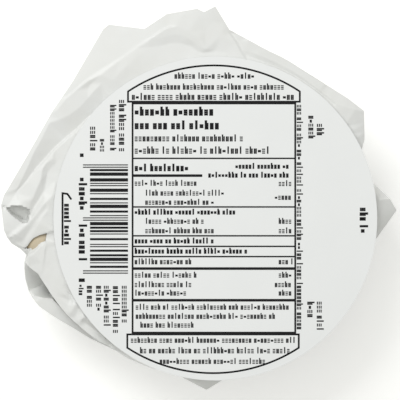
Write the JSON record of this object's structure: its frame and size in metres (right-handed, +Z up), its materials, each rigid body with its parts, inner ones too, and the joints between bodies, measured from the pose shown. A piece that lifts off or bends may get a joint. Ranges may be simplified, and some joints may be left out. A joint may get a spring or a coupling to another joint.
{
  "type": "cheese wheel",
  "caption": "Small soft-ripened cheese wheel shut in folded white paper, with a round printed label over the folds.",
  "frame": {"origin": "middle of the footprint, on the surface that the wheel lies on", "axes": "+Z up through the wheel, out of the label; +Y towards the top of the label; +X to the label's right"},
  "size_m": [0.113, 0.1094, 0.0283],
  "materials": {
    "rind": "matte bloomy rind",
    "coated_paper": "satin coated white paper, creased",
    "label_paper": "smooth white label paper with black print"
  },
  "bodies": {
    "root": {"cheese": "rind", "wrapper": "coated_paper", "label": "label_paper"}
  },
  "joints": []
}
